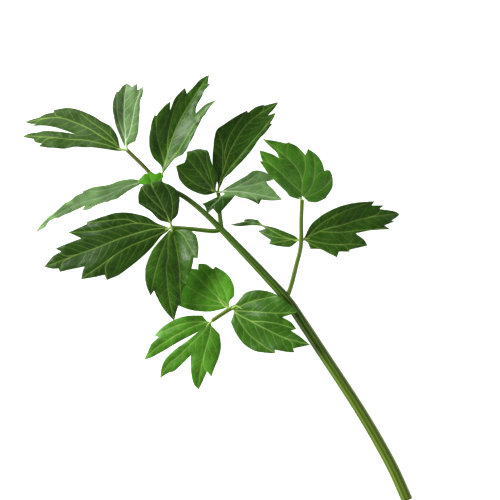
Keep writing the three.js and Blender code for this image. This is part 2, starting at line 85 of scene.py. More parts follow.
# ---- veins ----
MAIN_VEIN = 0.20  # half width at the first main vein's foot
LATER_VEINS = 0.8  # the other main veins' share of it
MAIN_VEIN_TIP = 0.12
TOOTH_VEIN = 0.15
TOOTH_VEIN_TIP = 0.1
FINE_VEIN = 0.08
FINE_VEIN_TIP = 0.05
VEIN_ENDS = 2  # no tooth vein leaves a main vein within so many points of its ends
TOOTH_SERVED = 2.5  # a tooth this near to a main vein's end has its vein
TOOTH_VEIN_ANGLE = 34  # the best slant, in degrees
TOOTH_VEIN_LENGTH = 2.2  # a millimetre of length costs as much as so many degrees off it
TOOTH_VEIN_LIMIT = 60.0  # a vein that costs more isn't grown
LINE_CHECKS = np.array([[0.3], [0.6], [0.9]])  # where the line to a tooth has to lie on the blade
TOOTH_VEIN_AHEAD = 0.3  # its middle point lies this share along the main vein,
TOOTH_VEIN_TURN = 0.22  # and this share along the line to the tooth
TOOTH_VEIN_SHORT = 0.03  # it stops short of the tip by this share
SIDE_VEIN_EVERY = 4  # points of the main vein from one fine side vein to the next
SIDE_VEIN_ANGLE = 48  # its slant at its foot, in degrees
SIDE_VEIN_CURVE = 1.6  # degrees that it turns back at each step
SIDE_VEIN_STEP = 0.8
SIDE_VEIN_STEPS = 16
SIDE_VEIN_SHORTEST = 3  # a vein of no more points is left out
SIDE_VEIN_GAP = 0.7  # to any other vein
CORE_REACH = 1.3  # a vein's colour ends at so many half widths,
CORE_MARGIN = 0.1  # each with this added
FAINT_VEINS = 0.08  # taken off every vein's paleness
VEIN_GROOVE = 0.12  # how deep a main vein sinks into the upper face
FINE_RELIEF = 0.5  # a fine vein's share of that
VEIN_KEEL = 0.35  # how far it stands out below
GROOVE_SPREAD = 1.6  # the groove's width against the vein's,
GROOVE_MARGIN = 0.12  # and what is added to it

# ---- a blade's relief ----
QUILTING = 0.27  # how high the blade domes up between its veins
DOME_FROM_VEIN = 2.6  # the dome is full this far from a main vein
DOME_FROM_EDGE = 2  # and this far from the edge
WAVE = 0.8  # slow waves of the whole blade
WAVE_ALONG = 0.055  # waves to a millimetre
WAVE_ACROSS = 0.08
RUFFLE = 0.45  # quick waves of its margin
RUFFLE_SCALE = 0.22
RUFFLE_SEED = 9
RUFFLE_WIDTH = 2.5  # how far in from the edge they reach
WAVES_START = 14  # waves grow to their full height over this length from the base
NOISE_SPAN = 2  # the noise itself mostly stays within half a unit of 0
SEED_STEP = 3.7  # between two leaflets' waves
# how wide the painted shade of a fold fades in
FOLD_SHADE_WIDTH = 2

# ---- stalks' meshes ----
STEM_SIDES = 88
RIB_COUNT = 9  # ridges round the leaf stalk
RIB_HEIGHT = 0.045  # of its radius
SIDE_STALK_SIDES = 40
SIDE_RIB_COUNT = 5
SIDE_RIB_HEIGHT = 0.05
RIB_TURN = 0.5  # where the first ridge lies, in radians
LEAFLET_STALK_SIDES = 12
LEAFLET_STALK_STEP = 0.5
LEAFLET_STALK_FOOT = 1.05  # its width at its foot, against its diameter
LEAFLET_STALK_TAPER = 0.65
STALK_UNDER_BLADE = ((0, -0.1), (2.2, -0.25), (5, -0.45))  # (distance from the blade's foot, height)
CUT_RING_DEPTH = 3  # the CAD stalk's cut face lies within this of its end
UV_SPAN = 60  # millimetres to a unit of the UV map
STALK_UV_ALONG = 0.12  # of a stalk's length, so that its streaks are long


def vec(*xyz):
    return np.array(xyz, float)


def between(start, end, places):
    """Points at (share of the way, sideways, up) from start to end."""
    return [start + (end - start) * share + vec(side, 0, up) for share, side, up in places]


def from_start(start, offsets):
    return [start + vec(*offset) for offset in offsets]


CUT_END = vec(0, 0, CUT_END_DIAMETER / 2)
BRANCH_A = vec(18.4, LEAF_STALK_LENGTH, 9.2)
BRANCH_B = BRANCH_A + vec(-2.6, AXIS_A_TO_B, 5)
BRANCH_C = BRANCH_B + vec(-8.7, AXIS_B_TO_C, 4.5)
BRANCH_T = BRANCH_C + vec(-1.7, AXIS_C_TO_T, 2.5)

AXIS_PATH = [
    CUT_END,
    *between(CUT_END, BRANCH_A, [(0.14, 2.0, -0.85), (0.28, 2.8, -1.6), (0.42, 2.9, -1.9),
                                 (0.56, 2.4, -1.9), (0.70, 1.7, -1.6), (0.85, 1.0, -0.9)]),
    BRANCH_A,
    *between(BRANCH_A, BRANCH_B, [(0.25, 0.3, -0.1), (0.62, 0.3, 0)]),
    BRANCH_B,
    *between(BRANCH_B, BRANCH_C, [(0.33, 1.7, -0.2), (0.66, 2.1, 0)]),
    BRANCH_C,
    *between(BRANCH_C, BRANCH_T, [(0.45, 0.3, 0)]),
    BRANCH_T,
]
STALK_A_RIGHT = from_start(BRANCH_A, [(0.5, 0, 0), (6, 3.3, 0.5), (14.6, 9.5, 1.9), (20.8, 14, 3),
                                      (24.4, 17.5, 3.8), (30.7, 25, 5.2), (37.4, 32.4, 6.3)])
STALK_A_LEFT = from_start(BRANCH_A, [(-0.5, 0, -0.4), (-11.4, 6.4, -0.6), (-19.7, 12, -0.2),
                                     (-24.2, 13.7, 0.2), (-29.9, 14.5, 0.1), (-35.2, 15.1, 0)])
STALK_B_LEFT = from_start(BRANCH_B, [(-0.4, 0.1, 0), (-2.6, 1, 0.2), (-10.8, 9.1, 1),
                                     (-18.1, 16.4, 1.6)])
STALK_B_RIGHT = from_start(BRANCH_B, [(0.4, 0.2, 0), (4.3, 6.3, 0.7), (8.7, 12, 1.9), (10.6, 14.9, 3.4)])
SIDE_STALKS = {"stalk_a_right": STALK_A_RIGHT, "stalk_a_left": STALK_A_LEFT,
               "stalk_b_left": STALK_B_LEFT, "stalk_b_right": STALK_B_RIGHT}
MID_A_RIGHT, END_A_RIGHT = STALK_A_RIGHT[4], STALK_A_RIGHT[6]
MID_A_LEFT, END_A_LEFT = STALK_A_LEFT[3], STALK_A_LEFT[5]
END_B_LEFT, END_B_RIGHT = STALK_B_LEFT[3], STALK_B_RIGHT[3]


# ---- leaflets ----
@dataclass
class Look:
    """Colours and gloss given to a group of leaflets, and the record's slot for it; the pale look paints a
    sheen.
    """
    slot: str
    upper: tuple
    under: tuple
    vein: tuple
    roughness: float
    specular: float


DARK = Look("leaf_dark", (0.026, 0.088, 0.006), (0.11, 0.21, 0.08), (0.27, 0.44, 0.085), 0.36, 0.18)
DULL = Look("leaf_dark", (0.040, 0.110, 0.012), (0.11, 0.21, 0.08), (0.27, 0.44, 0.085), 0.52, 0.10)
BRIGHT = Look("leaf_bright", (0.050, 0.190, 0.009), (0.13, 0.26, 0.09), (0.38, 0.60, 0.13), 0.38, 0.15)
# Painted sheen: a paler copy of the leaf green, for leaflets that catch the light
PALE = Look("leaf_pale", (0.130, 0.265, 0.075), (0.18, 0.31, 0.13), (0.60, 0.78, 0.46), 0.42, 0.22)
YOUNG = Look("leaf_young", (0.070, 0.30, 0.008), (0.18, 0.40, 0.06), (0.20, 0.46, 0.05), 0.40, 0.2)


@dataclass
class Leaflet:
    """A blade drawn flat from its base: a along its middle, c across it (left is +). ribs: its main veins."""
    name: str
    at: np.ndarray
    shift: tuple
    heading: float
    pitch: float
    roll: float
    bends: list
    look: Look
    outline: list
    ribs: list
    painted_light_and_shade: float = 1.0  # painted light and shade: its upper face painted lighter or darker, against its look's colour
    painted_fold_shade: bool = False  # painted shade: what lies left of its last bend's line is painted darker


@dataclass
class Bend:
    """What lies left of the line from start to end turns up by `turn` degrees over `over` mm."""
    start: tuple
    end: tuple
    turn: float
    over: float


def across(a, turn, over):
    return Bend((a, 10), (a, -10), turn, over)


def keel(turn, over):
    return Bend((0, 0), (60, 0), turn, over)


LEAFLETS = [
    Leaflet("t_left", BRANCH_T, (-1, 0.2, 0.4), 124, -6, -9,
        bends=[across(8, -32, 44), keel(18, 3)], look=DULL, painted_light_and_shade=0.6,
        outline=[
            (3, -1), (5.7, -6), (9.8, -9.6), (15, -10.9), (20, -12.3), (25, -13), (30, -13), (35, -12.2),
            (41.8, -9), (41.5, -8), (45.3, -6.2), (50, -2.9), (54, -0.8), (58, 2), (54, 1.6), (51, 0.7),
            (53.4, 2.4), (45, 0), (38.5, -1), (31.3, -1), (27.2, -0.8), (34.6, 0.1), (42, 1.9), (49, 4.8),
            (55.6, 8.9), (52.8, 9), (48, 8.2), (46.2, 9.6), (42, 9), (43.1, 11), (38, 9.8), (30, 7.5),
            (25, 5), (15, 2.6), (3, 0.8)],
        ribs=[
            [(0, 0), (8, -2.5), (14, -4), (20, -5.5), (28, -6.3), (36, -6.5), (45, -4), (57, 1.6)],
            [(5, -2.3), (10, -5.6), (15, -7.6), (20, -9), (27, -11.5)],
            [(0, 0.2), (10, -0.5), (20, 0.2), (28, 2), (36, 3.8), (45, 6), (55, 8.6)]]),
    Leaflet("t_up", BRANCH_T, (-0.4, 0.4, 0.8), 49, 22, -28,
        bends=[across(10, -14, 30), keel(44, 3)], look=PALE, painted_light_and_shade=0.6,
        outline=[
            (3, -1.5), (5.5, -5.3), (9, -6.4), (12.4, -7), (16, -7.5), (22, -7.7), (27, -7.5),
            (29.3, -8.2), (34.1, -8.5), (31.7, -5.5), (34.9, -4.9), (32.7, -2.6), (33.4, -1.1), (33.8, 1),
            (32.2, 3.1), (29.6, 4.8), (29.4, 5.8), (26, 6.9), (21.3, 7.1), (17, 6.2), (12.2, 4.9),
            (7.2, 3), (3, 1.2)],
        ribs=[
            [(0, 0), (5, 0.1), (10, 0.5), (15, 1.1), (20, 1.2), (30, 1), (33.6, 1)],
            [(4, 0), (10, -2.2), (18, -4), (26, -5.6), (33.5, -8.2)],
            [(5, 0.2), (12, 2.7), (20, 4.6), (29, 5.4)]]),
    Leaflet("c_left", BRANCH_C, (-6.9, 7.2, -0.1), 163.5, -6, -38,
        bends=[across(10, -12, 40)], look=PALE, painted_light_and_shade=1.18,
        outline=[
            (0, -1.2), (2.2, -3.2), (5.2, -4.6), (8.8, -5.5), (15.6, -6.5), (19.2, -8), (22.4, -8.8),
            (27.7, -9), (27.4, -8.1), (30.9, -7.6), (36.6, -5.4), (43.4, -2.9), (49.2, -0.4), (54.8, 2.8),
            (60.8, 7.9), (54, 5.2), (51, 2.8), (46.5, 1.4), (45.2, 2.3), (40.3, 2.1), (34.5, 1.7),
            (30.3, 0.9), (33, 3.1), (29.3, 3.6), (25.8, 2.6), (19.8, 2.4), (19.5, 3.3), (13.1, 3.6),
            (10.1, 3.3), (6.1, 2.2), (0, 1.2)],
        ribs=[
            [(0, 0), (10, -0.8), (20, -1.2), (30, -1.4), (40, -0.8), (48, 1), (61, 7.6)],
            [(4, -0.3), (12, -3), (20, -5.5), (27.4, -8.6)],
            [(8, -0.6), (16, 1), (24, 2), (32.4, 3)]]),
    Leaflet("c_up", BRANCH_C, (3.3, 2.6, 1.7), 27, 14, -34,
        bends=[across(12, -16, 34), keel(62, 7)], look=DARK, painted_light_and_shade=0.95,
        outline=[
            (4, -0.8), (8.7, -2), (11.3, -3.3), (13.2, -5), (14.6, -6.3), (17.2, -7.3), (23.5, -7.8),
            (28.8, -7.8), (34.8, -7.3), (37.2, -8.3), (40.5, -8.5), (47, -10.5), (42.8, -6.2),
            (40.2, -4.5), (35.6, -2.6), (38.2, -1.4), (43, -1.2), (48.7, -1.2), (51.7, -1.4), (51.3, 0.2),
            (55.3, 2), (52.4, 4), (50, 5), (47.2, 5.8), (44.5, 6.3), (41.8, 6.8), (43.7, 9.3), (40, 10.6),
            (37.6, 11.2), (34.5, 11), (31, 10.3), (34.8, 12.3), (31.7, 14), (28.6, 15.1), (26, 15.4),
            (26.5, 16.5), (22.2, 16), (17.2, 14.5), (12.3, 12.3), (8.9, 10), (6.4, 7.3), (4, 2.2)],
        ribs=[
            [(0, 0), (8, 1.5), (18, 2.5), (30, 3), (42, 2.6), (55, 2)],
            [(6, 1), (14, -2.6), (24, -4.6), (36, -6), (46.5, -10)],
            [(6, 1.2), (12, 6), (19, 11.5), (26, 16)],
            [(12, 2.2), (22, 6), (32, 8.5), (43.4, 9.1)]]),
    Leaflet("c_young", BRANCH_C, (-4, -0.4, 2.2), 60, 0, 0,
        bends=[], look=YOUNG, painted_light_and_shade=0.9,
        outline=[
            (0, -0.8), (2, -2.5), (5, -5), (6.5, -5.8), (8.3, -4.2), (7.6, -1.8), (9.6, 0.4), (8.6, 1.6),
            (8.8, 3.4), (6.5, 6.6), (4.5, 7.2), (3, 4.5), (0, 0.8)],
        ribs=[
            [(0, 0), (4, 0.6), (8.4, 0.7)],
            [(1, 0), (4, -3), (6.4, -5.4)],
            [(1, 0), (3.5, 3.4), (5.8, 6.6)]]),
    Leaflet("b_left_up", END_B_LEFT, (0.7, 0.4, 0.6), 74.5, 26, 0,
        bends=[Bend((23.7, 6), (20.6, -8), -175, 6)], look=DARK, painted_light_and_shade=0.72,
        outline=[
            (2.5, -1), (4, -4.6), (8, -7.2), (11.1, -8.8), (15.2, -9.6), (18.6, -9), (21.2, -7.3),
            (23.2, -5.4), (26, -5), (30, -4), (29, -2), (32, 0.5), (29.5, 2), (30, 5), (27.6, 5.6),
            (25.4, 6.6), (22.6, 8.8), (18.8, 10.4), (15.8, 8.8), (11.3, 6.4), (5.8, 4.6), (2.5, 1.2)],
        ribs=[
            [(0, 0), (8, 0), (16, 0.4), (24, 0.8), (31.5, 0.6)],
            [(2, 0), (8, -3.5), (15, -5.6), (22.4, -5.4)],
            [(2, 0), (8, 3), (14, 6), (18.8, 9.8)],
            [(8, 0), (16, 3.2), (23, 5.2), (29.4, 4.8)]]),
    Leaflet("b_left_left", END_B_LEFT, (-0.5, 0, 0.2), 156.6, -4, -8,
        bends=[across(10, -18, 54)], look=DARK, painted_light_and_shade=0.55,
        outline=[
            (1.6, -1), (6, -4.5), (10, -9), (15, -12), (20, -14.2), (25, -15.2), (30, -15.2),
            (39.8, -14.6), (39.8, -13.6), (50.5, -12), (48.5, -10.5), (45, -7.5), (55, -6.6),
            (59.7, -5.8), (57, -3.8), (62, -2.5), (66.3, 0.3), (68.5, 1.7), (64.7, 3.4), (60.7, 4.2),
            (60.7, 6), (54.5, 6.2), (47.5, 6.5), (49.7, 9.5), (51.5, 12.3), (48, 12.8), (39, 13.4),
            (38.8, 16.2), (32.8, 15.5), (25.2, 12.8), (18, 9.8), (11.2, 6.2), (5.8, 2.5), (1.6, 0.9)],
        ribs=[
            [(0, 0), (5, -1.3), (10, -2.2), (20, -2.4), (30, -1.9), (40, -0.7), (50, 0), (67.5, 1.6)],
            [(0, 0), (5, -2.5), (10, -5), (16, -7.3), (25, -8.3), (35, -8.8), (49.5, -11.8)],
            [(15, -7), (20, -10.5), (28, -12.3), (39, -14)],
            [(0, 0), (5, 1), (14, 2), (22, 2.8), (30, 4.8), (40, 8.4), (51, 12)]]),
    Leaflet("b_left_down", END_B_LEFT, (-0.1, -0.2, 0.5), -129, 8, -14,
        bends=[across(8, -16, 40), Bend((2, 1), (32, 5.5), 36, 3)], look=DARK, painted_light_and_shade=1.08,
        outline=[
            (1.2, -1.2), (4.5, -4.3), (7.8, -7.3), (11.3, -10), (17.8, -12.8), (21.8, -13.5),
            (28.9, -12.9), (34, -10.7), (31.3, -8.8), (34.5, -7.4), (41.4, -3.1), (46, 1.4), (41.8, 2.5),
            (38, 3.6), (39.5, 5.5), (32.2, 5), (29.6, 5.8), (27.9, 7.8), (23, 8.4), (18.1, 10.6),
            (15, 11.2), (15.1, 13.3), (9.3, 13.8), (4, 12.6), (1.6, 9.6), (0.6, 5), (0.8, 1.6)],
        ribs=[
            [(0, 0), (4, -1.5), (10, -2.2), (15, -2.2), (20, -3.2), (25, -2.6), (30, -2), (38, -0.6),
             (45.5, 1.2)],
            [(1, -0.6), (5, -2.5), (13, -5.8), (19, -7.8), (24, -9), (33.5, -10.5)],
            [(0.5, 1), (3.5, 5.5), (7.5, 7.8), (12, 10.7), (14.8, 13)],
            [(4, 1), (12, 2.6), (20, 3.6), (28, 4), (38.8, 5.2)]]),
    Leaflet("b_right_round", END_B_RIGHT, (-0.8, 0, 1.3), 104, 22, 0,
        bends=[Bend((26.5, -3.5), (13.5, -14), -130, 5)], look=DARK,
        outline=[
            (2.5, -2.5), (5, -7.1), (8.5, -9), (11.1, -10.5), (14.4, -12.8), (17, -15), (21, -18),
            (21.5, -16), (24.5, -15.5), (24.8, -13), (27, -11.5), (25.5, -8.5), (24.2, -5.7),
            (23.4, -2.8), (26, 1), (24.2, 2.5), (20.5, 5.2), (15.7, 6.5), (10.2, 6), (5.1, 4.4),
            (2.5, 2.4)],
        ribs=[
            [(0, 0), (8, -1.6), (16, -3.6), (24, -5.4)],
            [(2, -0.6), (8, -5), (14, -10), (20.7, -17.4)],
            [(2, 0.2), (9, 2), (16, 2.6), (25.4, 1)],
            [(8, -3.6), (16, -8), (26.6, -11.4)]]),
    Leaflet("b_right_large", END_B_RIGHT, (0.1, 0, 1.2), 18.5, 2, -10,
        bends=[across(10, -18, 44), keel(20, 4)], look=DARK, painted_light_and_shade=0.82,
        outline=[
            (4, 0.5), (6.8, 0.9), (11.5, -0.4), (18.3, -1.9), (25.4, -3.1), (32.1, -3.4), (38.8, -4.4),
            (42.7, -4.6), (42.6, -3.5), (46.8, -3.5), (48.3, -2.7), (45.5, -0.3), (50.4, -1.1),
            (54, -1.1), (50.6, 2.5), (48.9, 3.8), (48.9, 4.5), (45.7, 6.9), (41, 8.6), (41.8, 9.5),
            (36.4, 12.5), (29.8, 15.4), (25.3, 17.1), (21.9, 16.2), (16.6, 13.5), (13.8, 12), (10.7, 10),
            (8, 7.4), (4, 3)],
        ribs=[
            [(0, 0.6), (5.6, 2.3), (11.2, 3.6), (18.9, 5.5), (24.2, 6.1), (29.4, 6.4), (34.7, 6),
             (42, 4.2), (53, -0.8)],
            [(9, 3.1), (15.5, 7), (20.7, 10.7), (25.4, 16.6)],
            [(14, 4.4), (17.8, 7.3), (25.5, 9.8), (33, 10), (41.4, 9.3)],
            [(5, 1.6), (15, 1), (25, -0.4), (35, -1.8), (47, -3)]]),
    Leaflet("b_right_lower", END_B_RIGHT, (0.9, -0.3, 0.6), -47.5, -8, -30,
        bends=[Bend((9, -1.2), (-8, -2), -42, 3)], look=PALE,
        outline=[
            (2.5, -1.2), (-2, -3.6), (-7, -7), (-8.5, -7.5), (-6.8, -8.4), (-4.5, -12), (-2.3, -9.2),
            (0.2, -11.4), (1.5, -11), (3.7, -7.5), (6, -3.9), (7.8, -1.2), (10.2, -1.9), (15.1, -2.4),
            (20, -3.9), (20.9, -1.5), (28.8, -0.8), (31.4, 0.2), (27.6, 4.7), (24.1, 8.5), (23, 9.6),
            (26.4, 11.1), (24.2, 13.3), (20.1, 15), (16.1, 14.3), (12.3, 11), (7, 6.3), (2.5, 2.2)],
        ribs=[
            [(0, 0), (8, 1.2), (16, 1.6), (24, 0.8), (31, 0.2)],
            [(2, 0.6), (8, 3.6), (16, 6.6), (25.8, 10.9)],
            [(8, 4), (14, 8.6), (20, 14.5)],
            [(2, 0), (0, -4), (-3, -8), (-4.4, -11.4)]],
        painted_fold_shade=True),
    Leaflet("a_right_end", END_A_RIGHT, (0, 0, 0), 73.7, 36, 0,
        bends=[across(6, -16, 30)], look=BRIGHT, painted_light_and_shade=1.08,
        outline=[
            (2, -1), (-2.5, -2.5), (-5, -6.2), (-4.9, -11.1), (-0.6, -16.2), (3.3, -17.8), (6.9, -18.5),
            (9.5, -18.4), (10.7, -17), (10.7, -15.8), (16.7, -16.2), (22, -14.5), (25.5, -12.5),
            (22.9, -10.1), (28.4, -8.2), (32.9, -4.9), (32.8, -3.7), (36.3, 0.9), (40, 6.1), (35, 4.3),
            (30.6, 2.5), (27.4, 2.4), (31.3, 5.2), (35.1, 9.7), (31.9, 10.3), (29, 10.4), (30.5, 11.8),
            (26.3, 11.1), (20.7, 10), (14.5, 7.8), (8.4, 5.7), (5, 4.8), (2, 2.2)],
        ribs=[
            [(0, 0), (5.5, -1.9), (9.5, -3.4), (13.6, -4.1), (19, -3.5), (25, -1.6), (32, 1.5),
             (39, 5.4)],
            [(1, -0.6), (4, -6), (9, -9.6), (16, -12.6), (21.8, -14)],
            [(9.5, -3.4), (16, -7.4), (22, -9), (28, -8)],
            [(5, -1), (12, 1.8), (20, 4.6), (27, 7.6), (34.6, 9.4)],
            [(1, -0.8), (0.5, -6), (1, -11), (3.5, -17)]]),
    Leaflet("a_right_left", MID_A_RIGHT, (-0.1, 0.3, 0), 126.9, -12, 0,
        bends=[], look=DARK,
        outline=[
            (3, -1), (8, -2), (13.6, -2.8), (20.7, -3.1), (23.2, -4.7), (27.7, -4.3), (30.3, -3.4),
            (29.9, -2.5), (37.2, 0.8), (32, 0.5), (26.4, -1.2), (21, -2.1), (18.2, -1.4), (22, 0.6),
            (19.4, 1.8), (14.5, 3.6), (14.9, 5.7), (10, 5.7), (4.2, 4.7), (3, 3.5)],
        ribs=[
            [(0, 0.8), (8, 0.6), (14, -0.8), (20, -2.6), (28, -2.6), (36.6, 0.6)],
            [(4, 1), (12, 1.6), (21.4, 0.7)],
            [(5, 1.4), (10, 3.4), (14.6, 5.2)]]),
    Leaflet("a_right_right", MID_A_RIGHT, (0.1, -0.1, 0), -25.1, -6, -8,
        bends=[across(8, -20, 44), keel(16, 4)], look=DARK, painted_light_and_shade=0.92,
        outline=[
            (2.5, -2), (3, -5.5), (7.8, -7), (11.3, -10), (14.7, -13.1), (16.4, -10.5), (21.7, -11.9),
            (21.7, -11), (28.2, -11), (31.5, -11), (30.6, -7.7), (27.4, -3.6), (35.9, -4), (45.3, -5.6),
            (42.8, -3.2), (49.2, -2.2), (47.4, -1.6), (51.3, -0.1), (53, 1), (49.9, 3), (42.6, 5.6),
            (45.4, 6.9), (39.1, 8.1), (40.9, 9.9), (33.7, 11), (27.1, 11.6), (19.5, 11.1), (12.4, 9.1),
            (6.9, 6.4), (4, 3.6), (2.5, 1.6)],
        ribs=[
            [(0, 0), (8.5, 1.6), (14.7, 2.2), (21, 2), (31, 2.6), (42, 2.2), (52.6, 1)],
            [(2, -0.4), (8, -3.4), (15, -6.4), (22, -8), (31, -10.6)],
            [(10, 1.6), (20, -1.2), (30, -2.6), (44.6, -5.3)],
            [(4, 1), (12, 5.4), (22, 8), (32, 9.2), (40.4, 9.6)],
            [(2, -1), (6, -5), (10, -8.6), (14.6, -12.6)]]),
    Leaflet("a_left_up", MID_A_LEFT, (0.2, 0.7, 0.1), 89.8, -2, 0,
        bends=[keel(10, 4)], look=BRIGHT, painted_light_and_shade=1.5,
        outline=[
            (2.5, -1.5), (3.1, -5.1), (6.6, -7.8), (10.8, -9.2), (15, -9.1), (20.4, -7.3), (20.1, -5.6),
            (24.3, -4.4), (26.9, -1.7), (24.8, 0.3), (28, 3.2), (29.5, 4.7), (26.5, 7.5), (27, 10),
            (24, 14.5), (22, 14.5), (19.5, 21), (16.2, 19), (12.9, 17.3), (8.7, 13.8), (4.7, 9.1),
            (2.5, 5)],
        ribs=[
            [(0, 0), (8, 1.6), (16, 2.6), (24, 3.6), (29.2, 4.6)],
            [(2, 0.8), (8.5, 4.4), (14.7, 7.5), (20, 9.4), (26.8, 9.9)],
            [(2, 1), (6, 6), (11, 11.6), (16, 16.6), (19.3, 20.4)],
            [(2, -0.4), (8, -3), (15, -4.6), (20.2, -6.8)],
            [(8, 0.6), (16, -1.2), (26.6, -1.7)]]),
    Leaflet("a_left_right", MID_A_LEFT, (0.2, -0.1, 0.4), -65.1, 14, 6,
        bends=[across(8, -12, 38)], look=BRIGHT, painted_light_and_shade=0.58,
        outline=[
            (2, -1.5), (2.5, -6.2), (6.8, -10), (12.6, -13.4), (19.1, -14.3), (27.6, -11.8),
            (29.4, -10.8), (28.5, -9.4), (36, -7.4), (37.9, -6.4), (36.5, -5.1), (43.5, 0), (36.6, 1.8),
            (31.8, 2.5), (34.1, 4.4), (30.6, 6.4), (25.4, 6.9), (31.5, 12.5), (25.3, 14.5), (18.9, 15.8),
            (13.2, 15.5), (7.9, 13.7), (3.4, 10.1), (2, 6)],
        ribs=[
            [(0, 0), (4.4, -1.2), (10.7, -1.5), (16.9, -1.8), (27.1, -2.2), (33.3, -1.6), (43, 0)],
            [(2, -0.7), (8, -5), (14, -8.2), (22, -10), (29.2, -10.8)],
            [(3, 0.2), (10, 3), (18, 6), (25, 9), (31.2, 12.2)],
            [(2, 0.6), (6, 5.6), (12, 10.6), (18.6, 15.3)],
            [(12, -1.4), (20, 1.8), (27, 3.4), (34, 4.2)]]),
    Leaflet("a_left_end", END_A_LEFT, (0, 0, 0.1), -176.6, -4, 0,
        bends=[across(8, -18, 36)], look=BRIGHT,
        outline=[
            (2, -1.5), (1.8, -5.4), (6.5, -9.7), (11.6, -12.7), (19, -14.6), (26.3, -14.5), (25.1, -12.4),
            (30.3, -12.4), (35, -10.5), (39, -9.2), (35.2, -7.5), (28.8, -5.8), (18.8, -3.6), (8.8, -0.8),
            (16.3, -1.3), (24.1, -2.3), (32.1, -1.7), (39.8, 3), (33.8, 4.2), (32, 5.2), (26.8, 5.4),
            (19.8, 5.2), (22, 7.5), (25.8, 11.8), (29, 17.2), (29.3, 20.4), (25, 18.9), (19.5, 16.7),
            (19.7, 20), (15.2, 17.8), (10.1, 15.5), (5.7, 12.4), (1.9, 7.4), (2, 1.5)],
        ribs=[
            [(0, 0), (3.3, -1.9), (6.9, -3.5), (10.6, -5.1), (14.8, -6.2), (19.1, -7.4), (24.3, -8.3),
             (29.4, -9.2), (38.5, -9.2)],
            [(0, 0), (8, 0.9), (16, 1.2), (24, 1.4), (32, 1), (39.5, 2.9)],
            [(1, 0.6), (6, 4.5), (13, 8.6), (20, 13), (29, 19.8)],
            [(2, -1.2), (8, -6.6), (16, -11), (26, -14.2)]]),
]


# ---- places ----
def design_origin():
    """Where the leaf's own origin lies in the row frame: below the middle of the CAD stalk's cut face."""
    points = np.array([v.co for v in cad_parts["main_stem"].data.vertices])
    cut_ring = points[points[:, 1] < points[:, 1].min() + CUT_RING_DEPTH * MM]
    middle = (cut_ring.min(0) + cut_ring.max(0)) / 2
    return middle - CUT_END * MM


ORIGIN = design_origin()


def placed(points):
    """Points of the leaf's own frame, in the row frame."""
    return ORIGIN + np.asarray(points, float) * MM


# ---- curves ----
def smooth_path(points, step):
    """A centripetal Catmull-Rom curve through the points, as points about `step` apart."""
    pts = [np.asarray(p, float) for p in points]
    if len(pts) == 2:
        count = max(1, round(float(np.linalg.norm(pts[1] - pts[0])) / step))
        return np.array([pts[0] + (pts[1] - pts[0]) * i / count for i in range(count + 1)])
    ends = [2 * pts[0] - pts[1], *pts, 2 * pts[-1] - pts[-2]]
    out = [pts[0]]
    for p0, p1, p2, p3 in zip(ends, ends[1:], ends[2:], ends[3:]):
        spans = (p1 - p0, p2 - p1, p3 - p2)
        d0, d1, d2 = (max(np.linalg.norm(span), 1e-6) ** 0.5 for span in spans)
        m1 = ((p1 - p0) / d0 - (p2 - p0) / (d0 + d1) + (p2 - p1) / d1) * d1
        m2 = ((p2 - p1) / d1 - (p3 - p1) / (d1 + d2) + (p3 - p2) / d2) * d1
        count = max(1, round(float(np.linalg.norm(p2 - p1)) / step))
        for i in range(1, count + 1):
            t = i / count
            out.append(p1 * (2 * t**3 - 3 * t**2 + 1) + m1 * (t**3 - 2 * t**2 + t)
                       + p2 * (3 * t**2 - 2 * t**3) + m2 * (t**3 - t**2))
    return np.array(out)


def turn_at(before, here, after):
    """How far, in degrees, a flat path turns at a point; left turns are positive."""
    u, v = here - before, after - here
    return math.degrees(math.atan2(u[0] * v[1] - u[1] * v[0], u @ v))


def foot_of(leaflet):
    """The point where a blade that starts away from its base narrows down to its stalk, if it does."""
    middle = (np.array(leaflet.outline[0], float) + np.array(leaflet.outline[-1])) / 2
    return [tuple(middle * FOOT_REACH / np.linalg.norm(middle))] if middle[0] > FOOT_START else []


def outline_loop(leaflet):
    """The blade's edge, anticlockwise, smooth between teeth and notches, and the teeth's tips."""
    pts = np.array([*foot_of(leaflet), *leaflet.outline], float)
    turns = [turn_at(pts[i - 1], pts[i], pts[(i + 1) % len(pts)]) for i in range(len(pts))]
    corners = [i for i, turn in enumerate(turns) if abs(turn) > TOOTH_TURN or i == 0]
    tips = [pts[i] for i in corners if turns[i] > TOOTH_TURN and pts[i][0] > FIRST_TOOTH]
    loop = []
    for first, last in zip(corners, corners[1:] + [len(pts)]):
        stretch = [pts[i % len(pts)] for i in range(first, last + 1)]
        loop.extend(smooth_path(stretch, EDGE_STEP)[:-1])
    return np.array(loop), tips


def inside(points, loop):
    """Which flat points lie inside a closed loop."""
    x, y = points[:, 0, None], points[:, 1, None]
    ax, ay = loop[:, 0], loop[:, 1]
    bx, by = np.roll(ax, -1), np.roll(ay, -1)
    with np.errstate(divide="ignore", invalid="ignore"):
        crosses = ((ay > y) != (by > y)) & (x < (bx - ax) * (y - ay) / (by - ay) + ax)
    return crosses.sum(1) % 2 == 1


def distance_to(points, path, weights=None):
    """Each flat point's distance to a path, and the weight at the nearest place on it."""
    a, b = path[:-1], path[1:]
    span = b - a
    length = np.maximum((span**2).sum(1), 1e-12)
    rel = points[:, None] - a
    t = np.clip((rel * span).sum(2) / length, 0, 1)
    gap = np.linalg.norm(rel - span * t[..., None], axis=2)
    near = gap.argmin(1)
    rows = np.arange(len(points))
    if weights is None:
        return gap[rows, near], None
    t_near = t[rows, near]
    return gap[rows, near], weights[near] * (1 - t_near) + weights[near + 1] * t_near


def distance_to_edge(points, loop):
    return distance_to(points, np.vstack([loop, loop[:1]]))[0]


# ---- veins ----
@dataclass
class Vein:
    """A flat path, and its half width at each point."""
    path: np.ndarray
    half_width: np.ndarray


def tapered(path, foot, tip):
    return Vein(path, np.linspace(foot, tip, len(path)))


